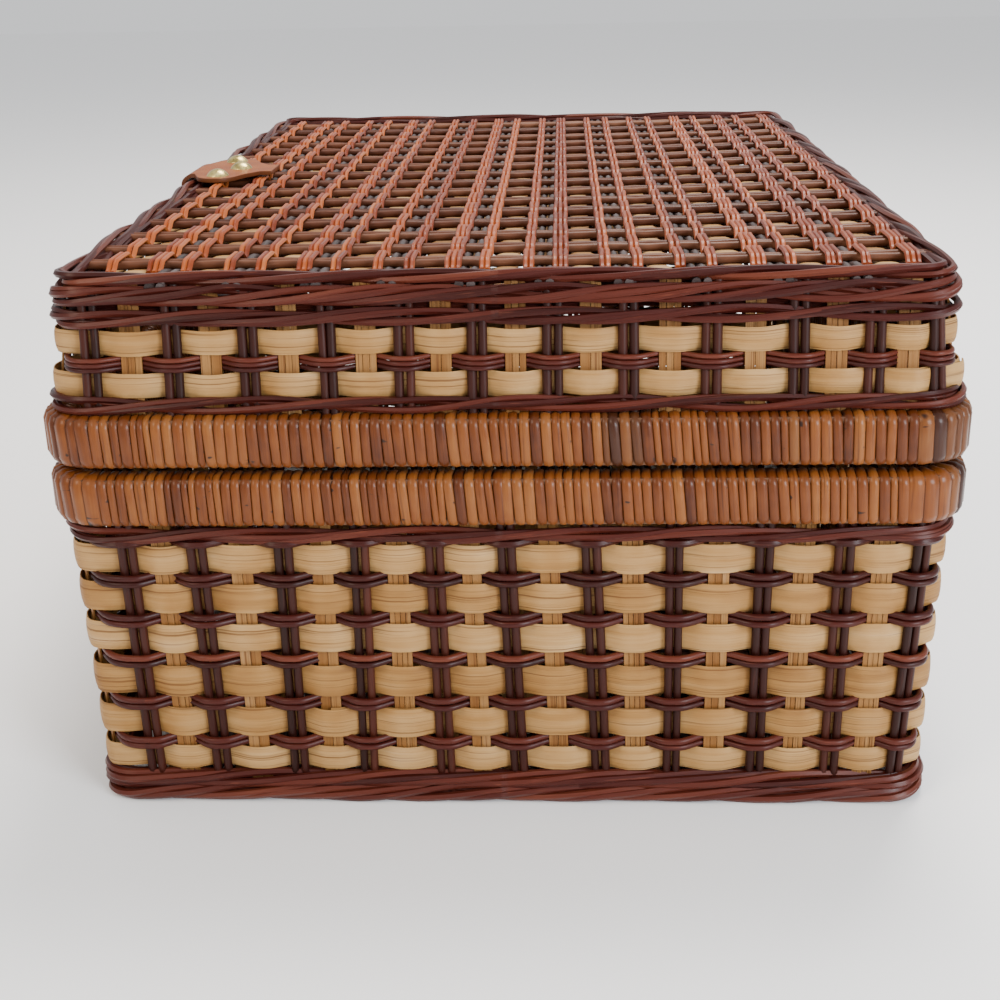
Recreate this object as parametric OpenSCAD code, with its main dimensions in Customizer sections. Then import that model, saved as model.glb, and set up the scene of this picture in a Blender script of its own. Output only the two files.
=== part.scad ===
// Low suitcase-shaped hamper of pale chip wood woven on dark rattan stakes, with a hinged lid.
// Millimetres. +Z is up, X runs across the short ends, Y along the long sides, and the origin is on
// the floor under the middle. The closing strap is on the -X side and the leather hinges on +X.
// Every wall is a stack of rows that follow one line, the line of the stakes, so a ring is given by
// how far it stands off that line, outwards positive.

/* [Wall line] */
// Half the width between the stake lines under the body rim
half_w = 190; // [160:1:200]
// Half the length between the stake lines under the body rim
half_l = 279.5; // [230:0.5:300]
// Corner radius of the stake line
corner_r = 18; // [17:1:30]
// How much the body wall leans in from the rim down to the floor
body_lean = 3.5; // [0:0.5:6]
// How much the lid wall leans in from its rim up to its top
lid_lean = 8.5; // [0:0.5:8.5]

/* [Heights] */
// Height of the twisted foot border
foot_h = 16; // [14:1:16]
// Height of the body wall's lowest chip row
first_chip_z = 17; // [17:0.1:17.2]
// Height of one chip row
chip_h = 13; // [10:0.5:13.5]
// From one body chip row to the next
row_pitch = 20.3; // [20:0.1:20.5]
// Number of chip rows round the body
body_rows = 6; // [4:1:6]
// Top of the rows under the body rim
body_wall_top = 137.3; // [137:0.1:137.4]
// Underside of the body rim
body_rim_z = 139.9; // [139.8:0.1:140]
// Height of each wrapped rim
rim_h = 23.6; // [22:0.1:24]
// Dark gap between the two rims
rim_gap = 2.8; // [2:0.1:4]
// Height of the lid from its rim's underside to the top of its border
lid_h = 81.5; // [80:0.5:84]

/* [Rattan and chip] */
// Diameter of a round rattan rod
rod_d = 3.4; // [3:0.1:3.6]
// Distance between the two rods of a pair
pair_gap = 5.4; // [4:0.1:6]
// Distance between stake pairs along the long sides and in the top
stake_pitch = 32; // [30:0.5:33]
// Distance between stake pairs across the body's ends
end_pitch = 34.4; // [32:0.1:34.4]
// Distance between stake pairs across the lid's ends
lid_end_pitch = 31.2; // [30:0.1:31.2]
// Thickness of a pale chip or splint
chip_t = 0.8; // [0.6:0.1:1]
// Width of a pale upright splint
splint_w = 8.5; // [6:0.5:10]
// Thickness of a row of dark weavers or wales
weaver_t = 2.6; // [2:0.1:3]

/* [Rims] */
// Thickness of a wrapped rim, across the wall
rim_t = 15; // [13:0.5:16]
// Thickness of the cane wrapping
cane_t = 1.5; // [1:0.1:1.8]
// Slot that the stake ends pass through
slot_w = 4.4; // [4.2:0.1:4.6]

/* [Leather and brass] */
// Thickness of the leather
leather_t = 2.2; // [1.8:0.1:2.4]
// Distance of each hinge loop from the middle of the long side
hinge_y = 160; // [158:1:162]
// Width of a hinge loop
hinge_w = 20; // [16:1:22]
// Diameter of a domed stud
stud_d = 12.7; // [10:0.1:13]
// Height of a stud's dome
stud_h = 3.8; // [3:0.1:4]
// Width of the closing strap
strap_w = 36; // [30:1:40]
// Height of the strap's pivot
strap_z = 179; // [178:1:181]
// Length of the strap below its pivot
strap_l = 92; // [85:1:96]
// Height of the turn knob
knob_z = 110; // [108:1:112]

/* [Hidden] */
$fn = 48;
fit = 0.15;
eps = 0.01;
rod_r = rod_d / 2;
body_rim_top = body_rim_z + rim_h;
lid_rim_z = body_rim_top + rim_gap;
lid_rim_top = lid_rim_z + rim_h;
lid_wall_z = lid_rim_top + leather_t + 2 * fit;
lid_top = lid_rim_z + lid_h;
hinge_z = body_rim_top + rim_gap / 2;
rim_off = 0.3;
rim_face = half_w + rim_off + rim_t / 2;
hinge_x = rim_face + fit + leather_t;
strap_x = -(rim_face + 4.9);

// The lid's rows, from its rim up
lid_wale_top = 198.7;
lid_chip_z = [199, 218.2];
lid_chip_h = [12, 10.4];
lid_weaver_z = 211.3;
lid_weaver_h = 6.6;
upper_wale_z = 229;

// The layers of the lid's top, from the skeins down
border_t = 3.2;
border_w = 12;
skein_t = 2.2;
cross_rod_z = lid_top - border_t - rod_r - 0.1;
skein_z = cross_rod_z + rod_r + 0.2;
long_rod_z = cross_rod_z - rod_d - 0.2;
top_chip_z = long_rod_z - rod_r - chip_t - 0.2;
top_splint_z = top_chip_z - chip_t - 0.2;
skein_w = 6;
skein_gap = 6.75;
panel_chip_w = 15;

// The foot border, inwards and outwards of the stake line
foot_in = 8;
foot_out = 4;

// The layers of the base, from the skeins up
base_skein_z = 1.2;
base_cross_z = base_skein_z + skein_t + rod_r + 0.1;
base_long_z = base_cross_z + rod_d + 0.2;
base_chip_z = base_long_z + rod_r + 0.2;
base_splint_z = base_chip_z + chip_t + 0.2;
base_w = half_w - body_lean - foot_in - 0.2;
base_l = half_l - body_lean - foot_in - 0.2;

cross_pairs = [for (i = [-7.5:7.5]) i * stake_pitch];
long_pairs = [for (i = [-4.5:4.5]) i * stake_pitch];
cross_splints = [for (i = [-7:7]) i * stake_pitch];
long_splints = [for (i = [-4:4]) i * stake_pitch];
body_end_pairs = [for (i = [-5:5]) i * end_pitch];
body_end_splints = [for (i = [-4.5:4.5]) i * end_pitch];
lid_end_pairs = [for (i = [-5.5:5.5]) i * lid_end_pitch];
lid_end_splints = [for (i = [-5:5]) i * lid_end_pitch];

// The closing tab: the edge of the top, and the studs, given from that edge
edge_x = half_w + rim_off - lid_lean + rod_r + 2.6;
tab_stud_xy = [[17 - edge_x, -27], [17 - edge_x, 27], [25 - edge_x, 0]];
tab_z = lid_top + fit;

// How far the wall line leans in at a height
function body_off(z) = -body_lean * (1 - min(z, body_rim_z) / body_rim_z);
function lid_off(z) = rim_off - lid_lean * (z - lid_rim_top) / (lid_top - lid_rim_top);

// Clearance that an upright row of height h needs beside a leaning stake
body_slope = body_lean / body_rim_z;
lid_slope = lid_lean / (lid_top - lid_rim_top);
function beside(h, slope) = 0.3 + slope * h / 2;

// A rectangle with round corners, off the wall line by d
module outline(d) {
    r = corner_r + d;
    w = half_w + d;
    l = half_l + d;
    square([2 * w, 2 * (l - r)], center = true);
    square([2 * (w - r), 2 * l], center = true);
    for (x = [-1, 1], y = [-1, 1]) translate([x * (w - r), y * (l - r)]) circle(r);
}

// A flat row of weaving right round, from offset d_in to d_out
module ring(z, h, d_in, d_out) {
    translate([0, 0, z]) linear_extrude(h) difference() {
        outline(d_out);
        outline(d_in);
    }
}

// A section swept round the wall line: x is outwards from the line, y is up
module swept() {
    w = half_w - corner_r;
    l = half_l - corner_r;
    for (q = [0:3]) {
        quarter = [q == 0 || q == 3 ? 1 : -1, q < 2 ? 1 : -1];
        translate([quarter.x * w, quarter.y * l]) rotate([0, 0, 90 * q])
            rotate_extrude(angle = 90) translate([corner_r, 0]) children();
    }
    for (s = [0, 180]) {
        rotate([0, 0, s]) translate([half_w, l, 0]) rotate([90, 0, 0]) linear_extrude(2 * l) children();
        rotate([0, 0, s + 90]) translate([half_l, w, 0]) rotate([90, 0, 0]) linear_extrude(2 * w) children();
    }
}

// A round rod between two points
module rod(p, q, r = rod_r) {
    v = q - p;
    translate(p) rotate([0, acos(v.z / norm(v)), atan2(v.y, v.x)]) cylinder(h = norm(v), r = r);
}

// Puts its children on the wall line at the end (side 0), the long side (1) or the corner (2), turned
// so that their +X points outwards; s is the place along the side, or the angle round the corner
module on_wall(side, s, d) {
    if (side == 0) translate([s, half_l + d, 0]) rotate([0, 0, 90]) children();
    if (side == 1) translate([half_w + d, s, 0]) children();
    if (side == 2) translate([half_w - corner_r, half_l - corner_r, 0]) rotate([0, 0, s])
        translate([corner_r + d, 0, 0]) children();
}

// Repeats its children round the wall: the end's places, the side's places and the corner's angles
module round_wall(ends, sides, corners, d) {
    for (s = [0, 180]) rotate([0, 0, s]) {
        for (x = ends) on_wall(0, x, d) children();
        for (y = sides) on_wall(1, y, d) children();
    }
    for (a = corners, m = [0, 1], s = [0, 180])
        rotate([0, 0, s]) mirror([0, m, 0]) on_wall(2, a, d) children();
}

// A leaning pair of stakes whose foot is at the origin
module stake_pair(z0, z1, lean) {
    for (y = [-1, 1] * pair_gap / 2) rod([0, y, z0], [lean, y, z1]);
}

// A leaning flat splint inside the chips
module splint(z0, z1, lean, slope) {
    tilt = atan2(lean, z1 - z0);
    translate([-rod_r - 2 * chip_t - 2 * beside(chip_h, slope) - 0.7, 0, z0]) rotate([0, tilt, 0])
        translate([0, -splint_w / 2, 0]) cube([chip_t, splint_w, z1 - z0]);
}

// A domed stud on its shank, standing on z = 0
module stud(shank) {
    dome_r = (pow(stud_d / 2, 2) + pow(stud_h, 2)) / (2 * stud_h);
    intersection() {
        translate([0, 0, stud_h - dome_r]) sphere(dome_r);
        cylinder(h = stud_h, d = stud_d + 1);
    }
    translate([0, 0, -shank]) cylinder(h = shank + eps, r = 1.5);
}

// ---- body ----

// Twisted dark rods round the foot; the hamper stands on it
module foot_border() color([0.36, 0.17, 0.14]) ring(0, foot_h, body_off(0) - foot_in, body_off(0) + foot_out);

// Skeins along the underside, beside each pair of long rods
module skeins(z, l) {
    for (x = long_pairs, s = [-1, 1])
        translate([x + s * skein_gap - skein_w / 2, -l, z]) cube([skein_w, 2 * l, skein_t]);
}

module base_skeins() color([0.6, 0.33, 0.2]) skeins(base_skein_z, base_l - 1);

// Rod pairs across the panel
module cross_rods(z, w) {
    for (y = cross_pairs, s = [-1, 1] * pair_gap / 2) rod([-w, y + s, z], [w, y + s, z]);
}

module base_cross_rods() color([0.42, 0.25, 0.18]) cross_rods(base_cross_z, base_w);

// Rod pairs along the panel
module long_rods(z, l) {
    for (x = long_pairs, s = [-1, 1] * pair_gap / 2) rod([x + s, -l, z], [x + s, l, z]);
}

module base_long_rods() color([0.28, 0.15, 0.12]) long_rods(base_long_z, base_l);

// Pale chips across the panel, between the cross rods
module panel_chips(z, w) {
    for (y = cross_splints) translate([-w, y - panel_chip_w / 2, z]) cube([2 * w, panel_chip_w, chip_t]);
}

module base_chips() color([0.85, 0.72, 0.5]) panel_chips(base_chip_z, base_w);

// Pale splints along the panel, between the long rods
module panel_splints(z, l) {
    for (x = long_splints) translate([x - splint_w / 2, -l, z]) cube([splint_w, 2 * l, chip_t]);
}

module base_splints() color([0.85, 0.72, 0.5]) panel_splints(base_splint_z, base_l);

// Dark stake pairs, from inside the foot border into the slot of the rim
module body_stakes() color([0.28, 0.14, 0.11]) {
    z0 = foot_h + 0.2;
    z1 = body_rim_z + rim_h - cane_t - 2;
    round_wall(body_end_pairs, cross_pairs, [], body_off(z0)) stake_pair(z0, z1, -body_off(z0) + 0.5);
}

// Pale upright splints inside the wall, midway between the stakes
module body_splints() color([0.85, 0.72, 0.5]) {
    z0 = foot_h + 0.2;
    z1 = body_wall_top - 7;
    round_wall(body_end_splints, cross_splints, [45], body_off(z0))
        splint(z0, z1, body_off(z1) - body_off(z0), body_slope);
}

// One row of pale chip, inside the stakes
module chip_row(z, h, d, slope) color([0.88, 0.75, 0.53]) {
    face = d - rod_r - beside(h, slope);
    ring(z, h, face - chip_t, face);
}

module body_chip(i) {
    z = first_chip_z + (i - 1) * row_pitch;
    chip_row(z, i == 1 ? chip_h - 1.5 : chip_h, body_off(z + chip_h / 2), body_slope);
}

// One doubled dark weaver, outside the stakes, in the gap between two chip rows
module weaver_row(z, h, d, slope) color([0.43, 0.2, 0.17]) {
    face = d + rod_r + beside(h, slope);
    ring(z, h, face, face + weaver_t);
}

module body_weaver(i) {
    z = first_chip_z + (i - 1) * row_pitch + chip_h;
    weaver_row(z + 0.3, row_pitch - chip_h - 0.6, body_off(z + 3), body_slope);
}

// A twisted wale: a ring outside the stakes and one inside them
module wale(z, h, d, slope) color([0.4, 0.18, 0.15]) {
    gap = rod_r + beside(h, slope);
    ring(z, h, d + gap, d + gap + weaver_t);
    ring(z, h, d - gap - weaver_t, d - gap);
}

module body_wale() {
    z = first_chip_z + (body_rows - 1) * row_pitch + chip_h + 0.2;
    wale(z, body_wall_top - z, body_off(body_wall_top - 3), body_slope);
}

// One flat hoop of a rim, on the outer (1) or the inner (-1) side of the stakes
module rim_hoop(z, side) color([0.5, 0.32, 0.2]) {
    t = (rim_t - slot_w) / 2 - cane_t - fit;
    translate([0, 0, z + cane_t + fit]) swept()
        translate([rim_off + side * (slot_w / 2 + t / 2) - t / 2, 0]) square([t, rim_h - 2 * (cane_t + fit)]);
}

module body_hoop_outer() rim_hoop(body_rim_z, 1);
module body_hoop_inner() rim_hoop(body_rim_z, -1);

// A rectangle with rounded corners, standing on y = 0
module soft_rect(w, h, r) {
    translate([-w / 2, r]) square([w, h - 2 * r]);
    translate([-w / 2 + r, 0]) square([w - 2 * r, h]);
    for (x = [-1, 1], y = [r, h - r]) translate([x * (w / 2 - r), y]) circle(r);
}

// Cane wrapped round both hoops; slot_y is the side that the stakes come in through
module rim_wrap(z, slot_y) color([0.69, 0.42, 0.24]) translate([0, 0, z]) swept() translate([rim_off, 0])
    difference() {
        soft_rect(rim_t, rim_h, 5);
        translate([-rim_t / 2 + cane_t, cane_t]) square([rim_t - 2 * cane_t, rim_h - 2 * cane_t]);
        translate([-slot_w / 2, slot_y]) square([slot_w, 2 * cane_t]);
    }

module body_rim_wrap() rim_wrap(body_rim_z, -cane_t);

// Half of a leather loop round a rim, in the XZ plane: open towards z = 0, closed at z = reach
module hinge_half(y, reach) {
    outer_w = rim_t + 2 * (leather_t + fit);
    down = reach < 0 ? 1 : 0;
    translate([hinge_x, y + hinge_w / 2, hinge_z]) rotate([90, 0, 0]) linear_extrude(hinge_w)
        mirror([0, down]) difference() {
            translate([-outer_w, 0.5]) square([outer_w, abs(reach) - 0.5]);
            translate([leather_t - outer_w, 0]) square([outer_w - 2 * leather_t, abs(reach) - leather_t]);
        }
}

loop_reach = rim_gap / 2 + rim_h + fit + leather_t;
stud_rise = 13;

// Bores for the studs, through the outer leg of the leather
module stud_bores(z) for (y = [-1, 1] * hinge_y)
    translate([hinge_x - 2 * leather_t, y, z]) rotate([0, 90, 0]) cylinder(h = 4 * leather_t, r = 1.6);

module hinge_leather_body() color([0.62, 0.36, 0.2]) difference() {
    for (y = [-1, 1] * hinge_y) hinge_half(y, -loop_reach);
    stud_bores(hinge_z - stud_rise);
}

module hinge_leather_lid() color([0.62, 0.36, 0.2]) difference() {
    for (y = [-1, 1] * hinge_y) hinge_half(y, loop_reach);
    stud_bores(hinge_z + stud_rise);
}

// Domed studs on the outer face of the hinge leathers
module hinge_studs(z) color([0.8, 0.72, 0.4]) for (y = [-1, 1] * hinge_y)
    translate([hinge_x, y, z]) rotate([0, 90, 0]) stud(leather_t - eps);

module hinge_studs_body() hinge_studs(hinge_z - stud_rise);
module hinge_studs_lid() hinge_studs(hinge_z + stud_rise);

patch_x = -(half_w + body_off(knob_z) + rod_r + 0.3 + weaver_t + 0.3);
plate_t = 1;
patch_t = 1.6;
patch_w = 44;
patch_h = 36;

// Leather patch under the clasp
module clasp_patch() color([0.62, 0.36, 0.2]) difference() {
    translate([patch_x, 0, knob_z]) rotate([0, -90, 0]) linear_extrude(patch_t) rotate([0, 0, 90])
        translate([0, -patch_h / 2]) soft_rect(patch_w, patch_h, 6);
    for (y = [-1, 1] * 15) translate([patch_x + 1, y, knob_z]) rotate([0, -90, 0]) cylinder(h = 9, r = 1.3);
}

// Brass plate that the turn knob sits on
module clasp_plate() color([0.8, 0.72, 0.4]) translate([patch_x - patch_t, 0, knob_z]) rotate([0, -90, 0])
    linear_extrude(plate_t) difference() {
        rotate([0, 0, 90]) translate([0, -8]) soft_rect(40, 16, 7.9);
        for (y = [-1, 1] * 15) translate([0, y]) circle(1.3);
        circle(2.05);
    }

// Small rivets through the plate and the patch
module clasp_rivets() color([0.8, 0.72, 0.4]) for (y = [-1, 1] * 15)
    translate([patch_x - patch_t - plate_t, y, knob_z]) rotate([0, -90, 0]) {
        intersection() {
            translate([0, 0, -2.2]) sphere(3.4);
            cylinder(h = 1.3, r = 2.6);
        }
        translate([0, 0, -patch_t - plate_t]) cylinder(h = patch_t + plate_t + eps, r = 1.2);
    }

// Turn knob: a short post through the plate with a cross bar on it
module turn_knob() color([0.8, 0.72, 0.4])
    translate([patch_x - patch_t - plate_t, 0, knob_z]) rotate([0, -90, 0]) {
        translate([0, 0, fit - plate_t]) cylinder(h = plate_t + 2.6, r = 2);
        translate([0, 0, 0.5]) linear_extrude(2.8) rotate([0, 0, 90]) translate([0, -3])
            soft_rect(19, 6, 2.9);
    }

// ---- lid ----

module lid_hoop_outer() rim_hoop(lid_rim_z, 1);
module lid_hoop_inner() rim_hoop(lid_rim_z, -1);
module lid_rim_wrap() rim_wrap(lid_rim_z, rim_h - cane_t);

module lid_lower_wale() {
    h = lid_wale_top - lid_wall_z;
    wale(lid_wall_z, h, lid_off(lid_wall_z + h / 2), lid_slope);
}

module lid_chip(i) {
    z = lid_chip_z[i - 1];
    chip_row(z, lid_chip_h[i - 1], lid_off(z + lid_chip_h[i - 1] / 2), lid_slope);
}

module lid_weaver()
    weaver_row(lid_weaver_z, lid_weaver_h, lid_off(lid_weaver_z + lid_weaver_h / 2), lid_slope);

// Dark stake pairs, from the slot of the lid's rim up to its top
module lid_stakes() color([0.28, 0.14, 0.11]) {
    z0 = lid_rim_top - 2.4;
    z1 = long_rod_z;
    round_wall(lid_end_pairs, cross_pairs, [], lid_off(z0)) stake_pair(z0, z1, lid_off(z1) - lid_off(z0));
}

// Pale upright splints inside the lid's chips
module lid_splints() color([0.85, 0.72, 0.5]) {
    z0 = lid_wale_top + 0.2;
    z1 = upper_wale_z - 0.2;
    round_wall(lid_end_splints, cross_splints, [45], lid_off(z0))
        splint(z0, z1, lid_off(z1) - lid_off(z0), lid_slope);
}

// Twisted rods round the top of the lid's wall: a tall ring outside the stakes, a low one inside
module lid_upper_wale() color([0.4, 0.18, 0.15]) {
    h = lid_top - border_t - upper_wale_z;
    inner_h = 5;
    d = lid_off(upper_wale_z + h / 2) + rod_r + beside(h, lid_slope);
    d_in = lid_off(upper_wale_z + inner_h / 2) - rod_r - beside(inner_h, lid_slope);
    ring(upper_wale_z, h, d, d + weaver_t);
    ring(upper_wale_z, inner_h, d_in - weaver_t, d_in);
}

// Twisted border on the edge of the top, over the ends of the rods
module lid_border() color([0.4, 0.18, 0.15]) {
    d = edge_x - half_w;
    ring(lid_top - border_t, border_t, d - border_w, d);
}

top_w = half_w + lid_off(lid_top) - 3;
top_l = half_l + lid_off(lid_top) - 3;

module top_cross_rods() color([0.47, 0.29, 0.21]) cross_rods(cross_rod_z, top_w);
module top_long_rods() color([0.3, 0.18, 0.15]) long_rods(long_rod_z, top_l);
module top_chips() color([0.85, 0.72, 0.5]) panel_chips(top_chip_z, top_w - 6);
module top_splints() color([0.85, 0.72, 0.5]) panel_splints(top_splint_z, top_l - 6);
module top_skeins() color([0.7, 0.38, 0.23]) skeins(skein_z, top_l - 6);

// Outline of the closing tab on the lid, seen from above: a neck, two lobes and a squared tail
module tab_outline() {
    neck_x = -edge_x - 1.4;
    lobe_x = tab_stud_xy[0].x;
    translate([neck_x, -strap_w / 2]) square([lobe_x - neck_x + 5, strap_w]);
    translate([lobe_x, -22]) square([28, 44]);
    for (s = tab_stud_xy) translate(s) circle(13);
    translate([lobe_x, -27]) square([10, 54]);
}

// A flat strip in the XZ plane through a list of points, with round joints
module strip(points, t) {
    for (i = [0:len(points) - 2]) {
        v = points[i + 1] - points[i];
        translate(points[i]) rotate(atan2(v.y, v.x)) translate([0, -t / 2]) square([norm(v), t]);
    }
    for (p = points) translate(p) circle(d = t);
}

strap_path = [
    [-edge_x - 0.9, tab_z + leather_t / 2],
    [-edge_x - 5.3, tab_z - 1.9],
    [-edge_x - 11.5, lid_wale_top + 2],
    [strap_x, strap_z + 6],
    [strap_x, strap_z + 2.8],
];

// Fixed part of the closing strap: the tab on top, and the neck over the edge and down the lid
module strap_tab() color([0.7, 0.42, 0.24]) difference() {
    union() {
        translate([0, 0, tab_z]) linear_extrude(leather_t) tab_outline();
        translate([0, strap_w / 2, 0]) rotate([90, 0, 0]) linear_extrude(strap_w)
            strip(strap_path, leather_t);
    }
    for (s = tab_stud_xy) translate([s.x, s.y, tab_z - 1]) cylinder(h = leather_t + 2, r = 1.6);
}

// Three domed studs that fasten the tab
module tab_studs() color([0.8, 0.72, 0.4])
    for (s = tab_stud_xy) translate([s.x, s.y, tab_z + leather_t]) stud(leather_t - eps);

// ---- strap and knob ----

eyelet_hole = [22.5, 8.5];

// Free flap of the strap, which hangs from the lid's rim in front of the knob
module strap_flap() color([0.7, 0.42, 0.24])
    translate([strap_x + leather_t / 2, 0, strap_z]) rotate([0, -90, 0]) linear_extrude(leather_t)
    difference() {
        union() {
            translate([-strap_l + strap_w / 2, -strap_w / 2]) square([strap_l - strap_w / 2, strap_w]);
            translate([-strap_l + strap_w / 2, 0]) circle(strap_w / 2);
        }
        translate([knob_z - strap_z, 0]) rotate([0, 0, 90]) translate([0, -5.25])
            soft_rect(eyelet_hole.x + 2, eyelet_hole.y + 2, 5.2);
    }

// Brass eyelet round the strap's slot, on its outer face
module strap_eyelet() color([0.8, 0.72, 0.4])
    translate([strap_x - leather_t / 2, 0, knob_z]) rotate([0, -90, 0]) linear_extrude(0.9) rotate([0, 0, 90])
        difference() {
            translate([0, -8]) soft_rect(30, 16, 7.9);
            translate([0, -eyelet_hole.y / 2])
                soft_rect(eyelet_hole.x, eyelet_hole.y, eyelet_hole.y / 2 - 0.05);
        }

foot_border();
base_skeins();
base_cross_rods();
base_long_rods();
base_chips();
base_splints();
body_stakes();
body_splints();
for (i = [1:body_rows]) body_chip(i);
for (i = [1:body_rows - 1]) body_weaver(i);
body_wale();
body_hoop_outer();
body_hoop_inner();
body_rim_wrap();
hinge_leather_body();
hinge_studs_body();
clasp_patch();
clasp_plate();
clasp_rivets();
lid_hoop_outer();
lid_hoop_inner();
lid_rim_wrap();
lid_lower_wale();
lid_stakes();
lid_splints();
for (i = [1:2]) lid_chip(i);
lid_weaver();
lid_upper_wale();
lid_border();
top_cross_rods();
top_long_rods();
top_chips();
top_splints();
top_skeins();
hinge_leather_lid();
hinge_studs_lid();
strap_tab();
tab_studs();
strap_flap();
strap_eyelet();
turn_knob();
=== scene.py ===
import math
import random

import bmesh
import bpy
from mathutils import Matrix, Vector
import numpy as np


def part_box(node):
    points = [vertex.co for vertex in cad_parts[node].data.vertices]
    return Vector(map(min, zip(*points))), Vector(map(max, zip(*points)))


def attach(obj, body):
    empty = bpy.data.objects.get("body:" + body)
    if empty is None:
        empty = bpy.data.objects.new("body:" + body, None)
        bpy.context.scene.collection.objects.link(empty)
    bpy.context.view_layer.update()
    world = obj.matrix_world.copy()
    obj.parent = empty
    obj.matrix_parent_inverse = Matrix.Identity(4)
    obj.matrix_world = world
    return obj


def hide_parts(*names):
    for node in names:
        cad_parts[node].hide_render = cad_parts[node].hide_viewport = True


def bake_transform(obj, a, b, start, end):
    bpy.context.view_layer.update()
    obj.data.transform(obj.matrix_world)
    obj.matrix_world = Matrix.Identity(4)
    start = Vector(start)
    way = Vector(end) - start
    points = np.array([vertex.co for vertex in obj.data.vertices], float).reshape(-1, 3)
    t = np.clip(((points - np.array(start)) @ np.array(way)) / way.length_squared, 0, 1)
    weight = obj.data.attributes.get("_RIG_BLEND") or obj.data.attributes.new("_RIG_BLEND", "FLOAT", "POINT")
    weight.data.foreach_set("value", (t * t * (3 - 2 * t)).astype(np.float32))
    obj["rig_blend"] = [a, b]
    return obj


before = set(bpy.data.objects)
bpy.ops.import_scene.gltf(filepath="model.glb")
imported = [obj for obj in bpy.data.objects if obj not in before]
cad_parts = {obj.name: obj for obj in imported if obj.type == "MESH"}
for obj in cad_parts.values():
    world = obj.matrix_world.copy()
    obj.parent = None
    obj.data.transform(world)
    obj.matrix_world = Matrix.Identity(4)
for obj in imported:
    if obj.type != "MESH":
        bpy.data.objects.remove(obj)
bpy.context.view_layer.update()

# ---- Camera, floor and light ----
# A tabletop picture of the hamper's near end, from a little above the lid.
# The floor is pale paper; two large soft lamps and a pale room light it evenly.

camera_data = bpy.data.cameras.new("camera")
camera_data.lens = 52.2
camera = bpy.data.objects.new("camera", camera_data)
camera.location = (0.0259, -0.8531, 0.3734)
facing = Matrix.Rotation(math.radians(2.68), 3, "Z") @ Matrix.Rotation(math.radians(90 - 21.24), 3, "X")
camera.rotation_euler = (facing @ Matrix.Rotation(math.radians(-1.2), 3, "Z")).to_euler()
bpy.context.scene.collection.objects.link(camera)
bpy.context.scene.camera = camera

floor_mesh = bpy.data.meshes.new("floor")
bm = bmesh.new()
bmesh.ops.create_grid(bm, x_segments=1, y_segments=1, size=6)
bm.to_mesh(floor_mesh)
bm.free()
floor = bpy.data.objects.new("floor", floor_mesh)
bpy.context.scene.collection.objects.link(floor)
floor_paint = bpy.data.materials.new("floor_paper")
floor_paint.use_nodes = True
floor_paint.node_tree.nodes["Principled BSDF"].inputs["Base Color"].default_value = (0.95, 0.95, 0.95, 1)
floor_paint.node_tree.nodes["Principled BSDF"].inputs["Roughness"].default_value = 0.9
floor_mesh.materials.append(floor_paint)

room = bpy.data.worlds.new("room")
room.use_nodes = True
room.node_tree.nodes["Background"].inputs["Color"].default_value = (0.97, 0.98, 1.0, 1)
room.node_tree.nodes["Background"].inputs["Strength"].default_value = 0.9
bpy.context.scene.world = room


def lamp(name, at, aim, size, power, tint=(1, 1, 1)):
    """A square soft lamp at a point, turned towards another."""
    data = bpy.data.lights.new(name, "AREA")
    data.size = size
    data.energy = power
    data.color = tint
    made = bpy.data.objects.new(name, data)
    made.location = at
    made.rotation_euler = (Vector(aim) - Vector(at)).to_track_quat("-Z", "Y").to_euler()
    bpy.context.scene.collection.objects.link(made)


lamp("left_lamp", (-1.3, -1.5, 1.6), (0, -0.1, 0.15), 0.8, 24, (1.0, 0.84, 0.66))
lamp("window_lamp", (1.1, -1.3, 0.7), (0.19, -0.28, 0.12), 0.7, 34, (0.88, 0.94, 1.0))
lamp("top_lamp", (0.3, 0.6, 1.8), (0, 0.1, 0.2), 0.8, 52, (1.0, 0.95, 0.90))

# ---- Dark stakes of the body ----
# Pairs of round rattan, stained almost black-brown, set upright all round from the foot border to the
# rim. They carry the weaving, and every other row is placed by them.

MM = 0.001
rim_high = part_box("body_rim_wrap")[1]
RIM_T = 15 * MM
RIM_H = rim_high.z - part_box("body_rim_wrap")[0].z
RIM_OFF = 0.3 * MM
half_w = rim_high.x - RIM_T / 2 - RIM_OFF
half_l = rim_high.y - RIM_T / 2 - RIM_OFF
CORNER_R = 18 * MM
END = 2 * (half_w - CORNER_R)
SIDE = 2 * (half_l - CORNER_R)
ARC = math.pi / 2 * CORNER_R
AROUND = 2 * (END + SIDE) + 4 * ARC
SIDE_MID = END / 2 + ARC + SIDE / 2
BODY_RIM_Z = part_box("body_rim_wrap")[0].z
BODY_LEAN = 3.5 * MM
ROD_R = 1.95 * MM
PAIR = 2.2 * MM


def wall(s, out, z):
    """The point s round the line of the stakes from the middle of the near end, out from it, at height z."""
    s %= AROUND
    turned = s >= AROUND / 2
    s -= AROUND / 2 if turned else 0
    if s < END / 2:
        x, y, angle = s, -half_l, -math.pi / 2
    elif s < END / 2 + ARC:
        angle = (s - END / 2) / CORNER_R - math.pi / 2
        x, y = END / 2 + CORNER_R * math.cos(angle), -SIDE / 2 + CORNER_R * math.sin(angle)
    elif s < END / 2 + ARC + SIDE:
        x, y, angle = half_w, s - SIDE_MID, 0
    elif s < END / 2 + 2 * ARC + SIDE:
        angle = (s - END / 2 - ARC - SIDE) / CORNER_R
        x, y = END / 2 + CORNER_R * math.cos(angle), SIDE / 2 + CORNER_R * math.sin(angle)
    else:
        x, y, angle = AROUND / 2 - s, half_l, math.pi / 2
    x, y = x + out * math.cos(angle), y + out * math.sin(angle)
    return (-x, -y, z) if turned else (x, y, z)


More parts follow.
